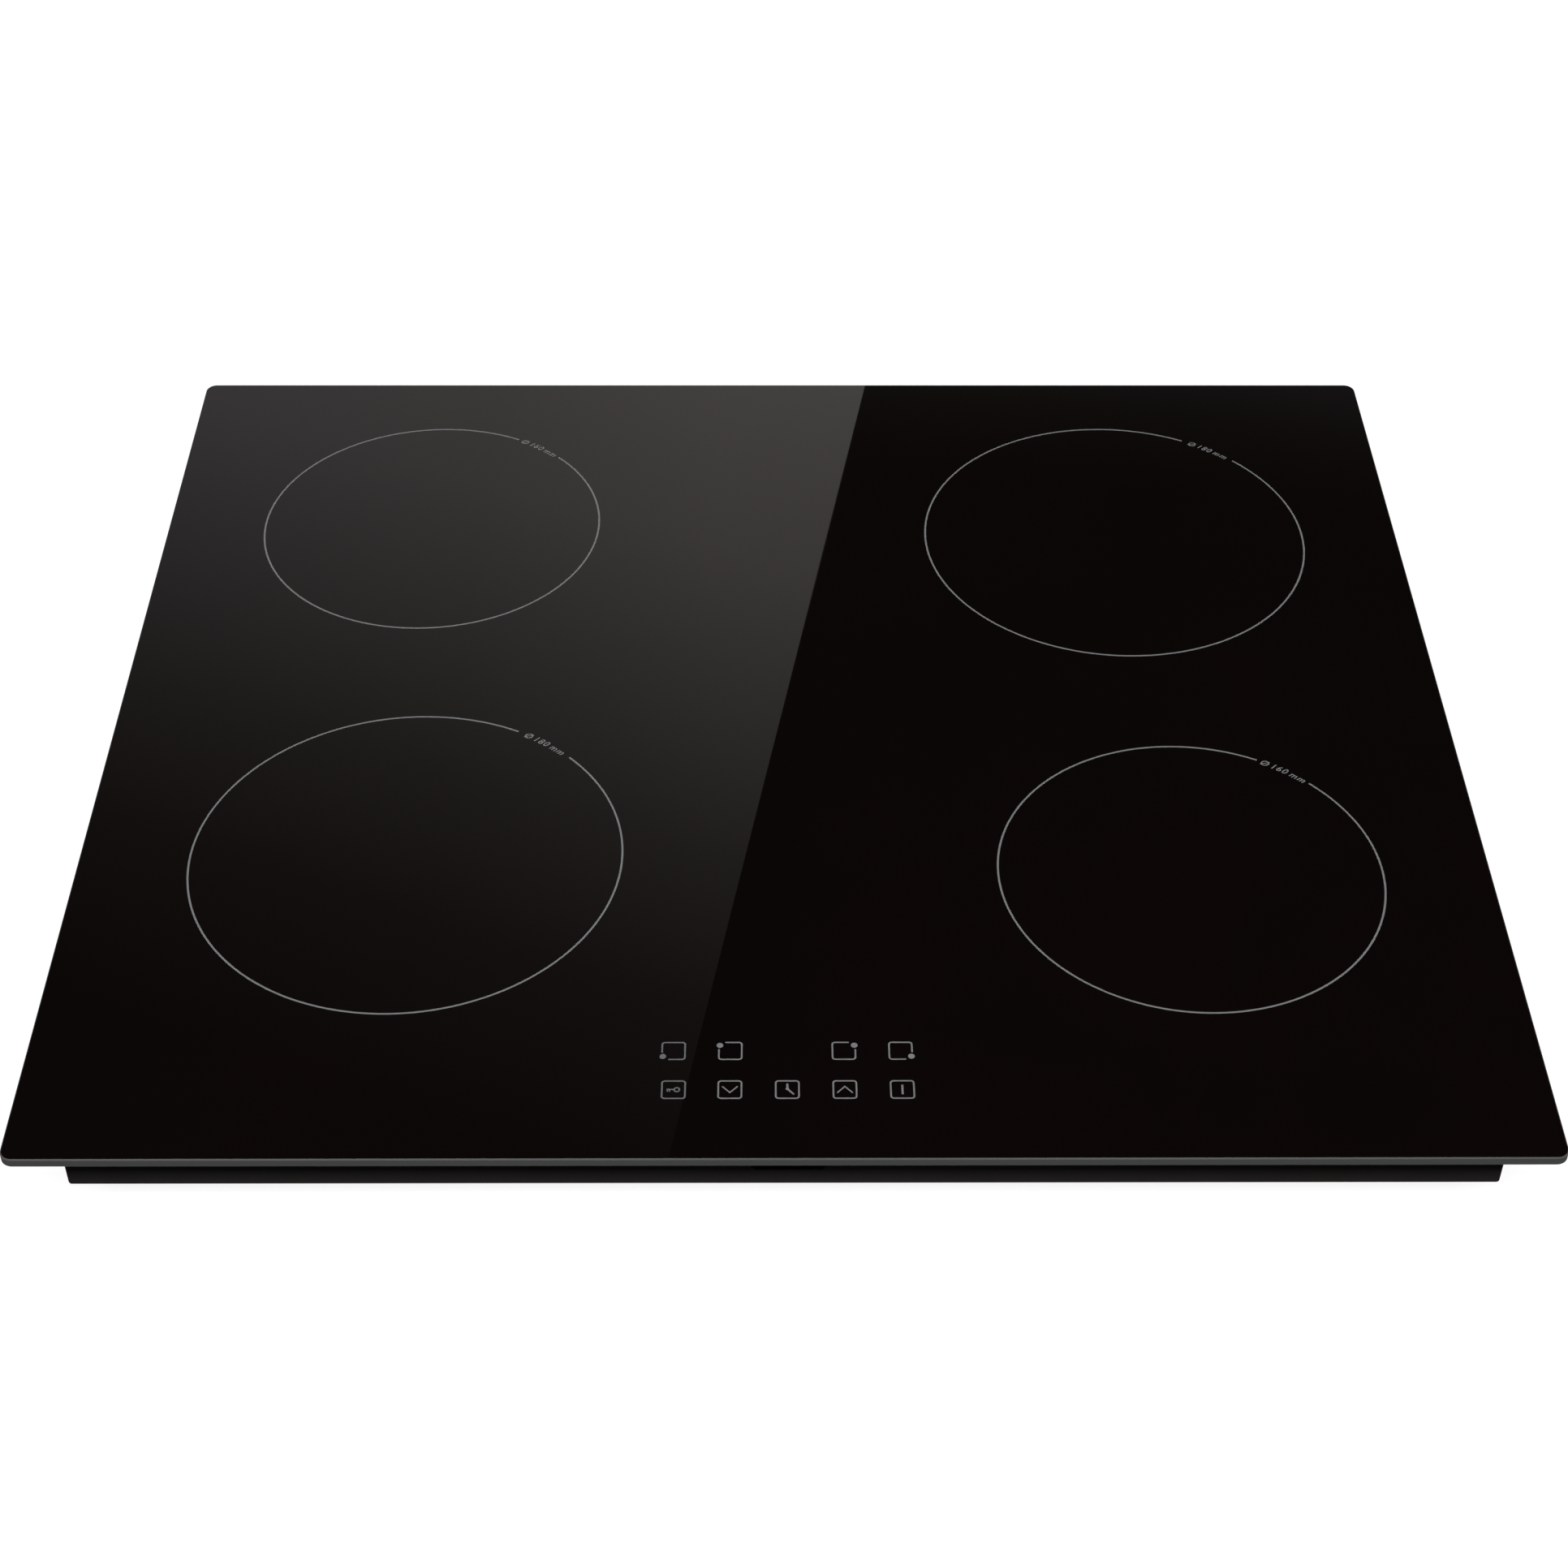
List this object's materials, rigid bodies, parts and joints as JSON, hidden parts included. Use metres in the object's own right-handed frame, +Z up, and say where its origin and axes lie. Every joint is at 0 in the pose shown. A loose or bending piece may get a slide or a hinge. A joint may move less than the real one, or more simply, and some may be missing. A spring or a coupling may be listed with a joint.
{
  "type": "electric induction cooktop",
  "caption": "Built-in induction cooktop: a flat black glass plate with ringed cooking zones and touch keys over a stepped steel tray of coils, power boards and blowers.",
  "frame": {"origin": "middle of the tray's flat underside, at the middle of the whole outline", "axes": "+X to the cook's right along the longer side, +Y away from the cook to the rear, +Z up"},
  "size_m": [0.59, 0.52, 0.058],
  "materials": {
    "black_glass": "polished, opaque black underneath",
    "seal_foam": "matte foam tape",
    "silicone_bead": "matte silicone",
    "zinc_sheet": "zinc-plated sheet",
    "tray_paint": "black powder coat",
    "screw_steel": "zinc-plated",
    "litz_copper": "varnished copper strands",
    "former_plastic": "moulded, off-white",
    "mica_felt": "pressed fibre sheet",
    "ferrite": "sintered, dark grey",
    "sensor_body": "white heat-proof moulding",
    "spring_steel": "bright spring strip",
    "lead_sleeve": "woven glass-fibre sleeve",
    "contact_brass": "tinned lug",
    "sheet_aluminium": "mill finish",
    "circuit_board": "green solder mask",
    "nylon": "natural nylon",
    "extruded_aluminium": "extruded",
    "semiconductor": "moulded epoxy",
    "capacitor_case": "moulded case",
    "choke_winding": "enamelled wire on a ring core",
    "fuse_metal": "nickel caps",
    "blower_plastic": "black moulding",
    "impeller_plastic": "dark grey moulding",
    "shaft_steel": "ground steel",
    "stator_core": "stacked sheets",
    "box_plastic": "black moulding",
    "terminal_plastic": "light grey moulding",
    "pad_foam": "conductive foam",
    "display_plastic": "dark red window",
    "holder_plastic": "white moulding",
    "ribbon_jacket": "grey jacket",
    "wire_jacket": "insulated wire"
  },
  "bodies": {
    "chassis": {"glass_plate": "black_glass", "edge_seal": "seal_foam", "glass_adhesive": "silicone_bead", "glass_frame": "zinc_sheet", "frame_screws": "screw_steel", "bottom_tray": "tray_paint", "coil_winding_left_rear": "litz_copper", "coil_former_left_rear": "former_plastic", "insulation_disc_left_rear": "mica_felt", "coil_winding_left_front": "litz_copper", "coil_former_left_front": "former_plastic", "insulation_disc_left_front": "mica_felt", "coil_winding_right_rear": "litz_copper", "coil_former_right_rear": "former_plastic", "insulation_disc_right_rear": "mica_felt", "coil_winding_right_front": "litz_copper", "coil_former_right_front": "former_plastic", "insulation_disc_right_front": "mica_felt", "ferrite_bars": "ferrite", "temperature_sensors": "sensor_body", "coil_springs": "spring_steel", "coil_leads": "lead_sleeve", "lead_terminals": "contact_brass", "coil_carrier_left": "sheet_aluminium", "power_board_left": "circuit_board", "heat_sink_left": "extruded_aluminium", "blower_casing_left": "blower_plastic", "blower_cover_left": "blower_plastic", "coil_carrier_right": "sheet_aluminium", "power_board_right": "circuit_board", "heat_sink_right": "extruded_aluminium", "blower_casing_right": "blower_plastic", "blower_cover_right": "blower_plastic", "carrier_posts": "screw_steel", "chassis_screws": "screw_steel", "board_spacers": "nylon", "power_transistors": "semiconductor", "bridge_rectifiers": "semiconductor", "film_capacitors": "capacitor_case", "smoothing_chokes": "choke_winding", "filter_board": "circuit_board", "common_mode_choke": "choke_winding", "mains_fuse": "fuse_metal", "blower_stators": "stator_core", "terminal_box": "box_plastic", "terminal_block": "terminal_plastic", "terminal_screws": "screw_steel", "cable_clamp": "box_plastic", "touch_board": "circuit_board", "touch_pads": "pad_foam", "display_modules": "display_plastic", "control_holder": "holder_plastic", "ribbon_cable": "ribbon_jacket", "mains_wires": "wire_jacket"},
    "blower_left_rotor": {"blower_impeller_left": "impeller_plastic", "blower_shaft_left": "shaft_steel"},
    "blower_right_rotor": {"blower_impeller_right": "impeller_plastic", "blower_shaft_right": "shaft_steel"},
    "lid": {"terminal_lid": "box_plastic"}
  },
  "joints": [
    {"name": "blower_left_spin", "type": "hinge", "parent": "chassis", "child": "blower_left_rotor", "pos_m": [-0.165, 0.168, 0.02], "axis": [0, 0, 1], "continuous": true},
    {"name": "blower_right_spin", "type": "hinge", "parent": "chassis", "child": "blower_right_rotor", "pos_m": [0.165, 0.168, 0.02], "axis": [0, 0, 1], "continuous": true},
    {"name": "terminal_lid_hinge", "type": "hinge", "parent": "chassis", "child": "lid", "pos_m": [-0.0165, 0.2395, 0.0323], "axis": [1, 0, 0], "range_deg": [0, 90]}
  ]
}
